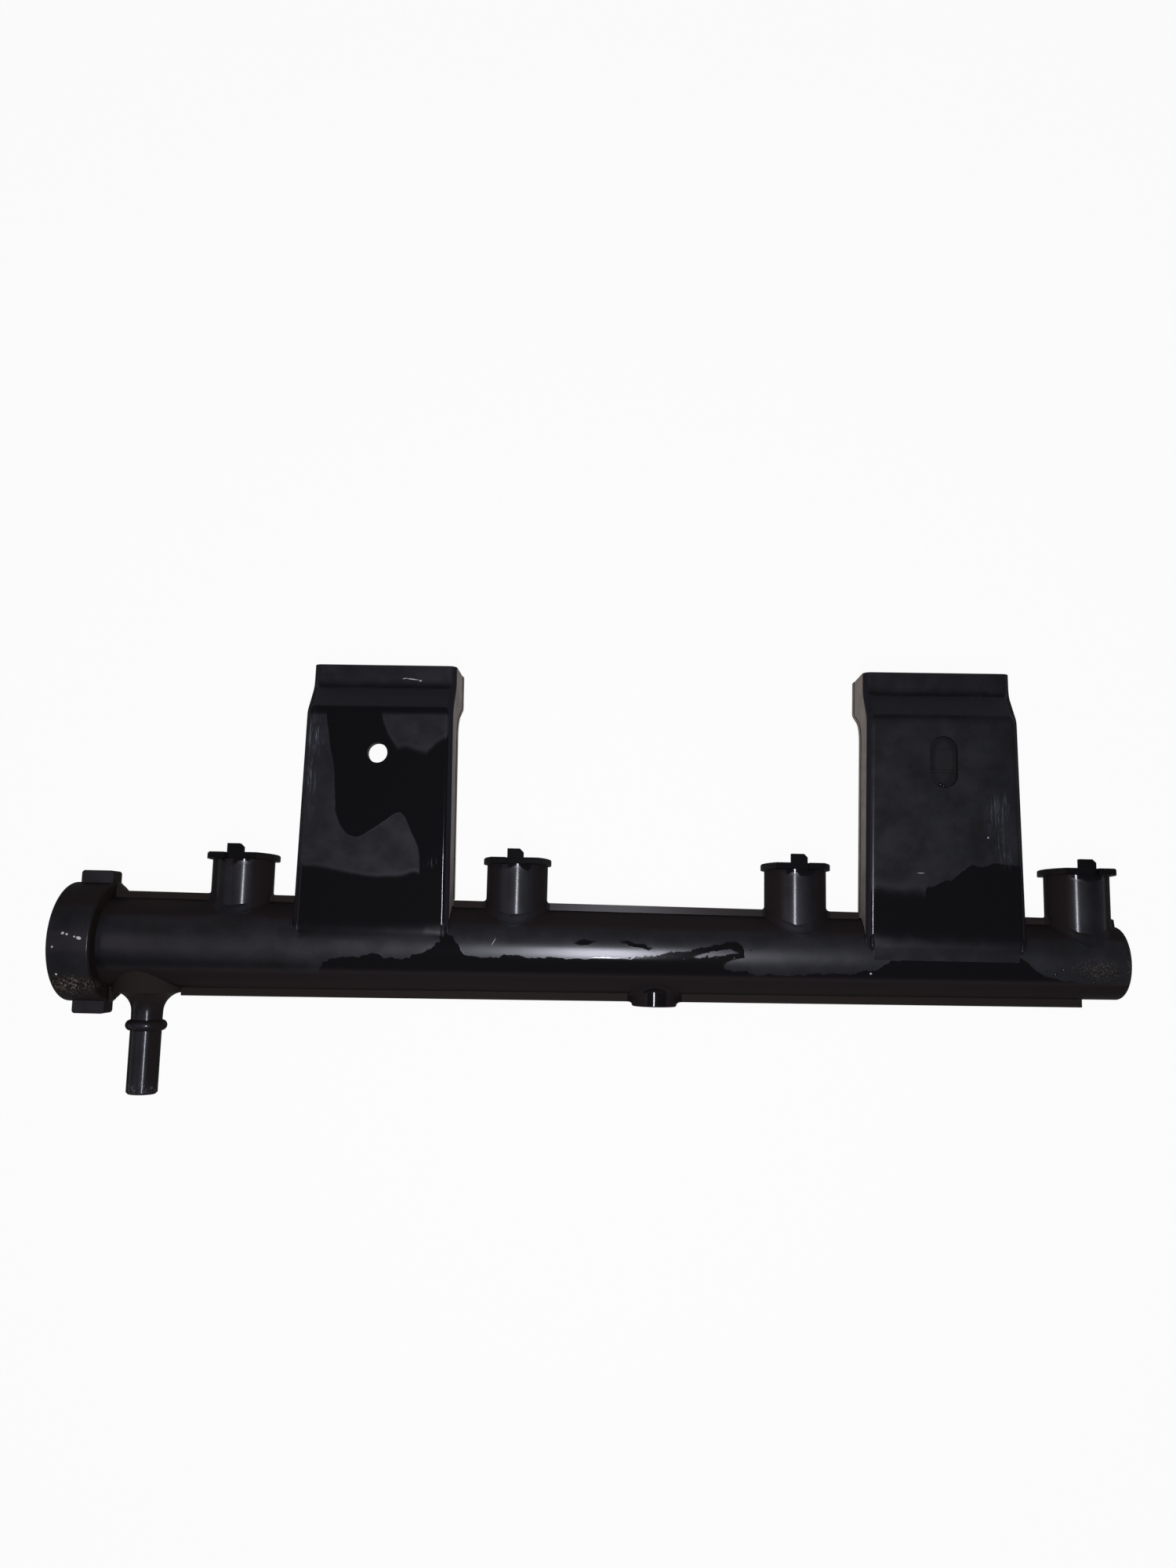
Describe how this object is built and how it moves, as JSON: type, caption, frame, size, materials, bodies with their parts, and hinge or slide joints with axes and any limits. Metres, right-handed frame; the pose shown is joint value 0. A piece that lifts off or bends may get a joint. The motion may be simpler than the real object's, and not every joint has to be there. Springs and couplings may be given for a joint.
{
  "type": "fuel rail",
  "caption": "Long tapered fuel rail with injector cups along one side, two channel brackets, a beaded inlet spigot and a damper in a collar at the large end.",
  "frame": {"origin": "centre of the round hole in the left bracket, on the front face of its web", "axes": "+X along the barrel to its small end, +Y towards the injectors, +Z out of the bracket's web"},
  "size_m": [0.3295, 0.137, 0.0376],
  "materials": {
    "black_coat": "black gloss coat",
    "plug_plastic": "satin black",
    "plated_steel": "zinc plate",
    "spring_steel": "oiled",
    "seal_rubber": "matte"
  },
  "bodies": {
    "root": {"front_shell": "black_coat", "rear_shell": "black_coat", "end_plug": "black_coat", "damper_collar": "black_coat", "injector_cup_1": "black_coat", "injector_cup_2": "black_coat", "injector_cup_3": "black_coat", "injector_cup_4": "black_coat", "inlet_spigot": "black_coat", "centre_boss": "black_coat", "left_bracket": "black_coat", "right_bracket": "black_coat", "slot_plug": "plug_plastic", "damper_body": "plated_steel", "damper_cover": "plated_steel", "spring_seat": "plated_steel", "damper_spring": "spring_steel", "retaining_ring": "spring_steel", "damper_o_ring": "seal_rubber", "damper_diaphragm": "seal_rubber"}
  },
  "joints": []
}
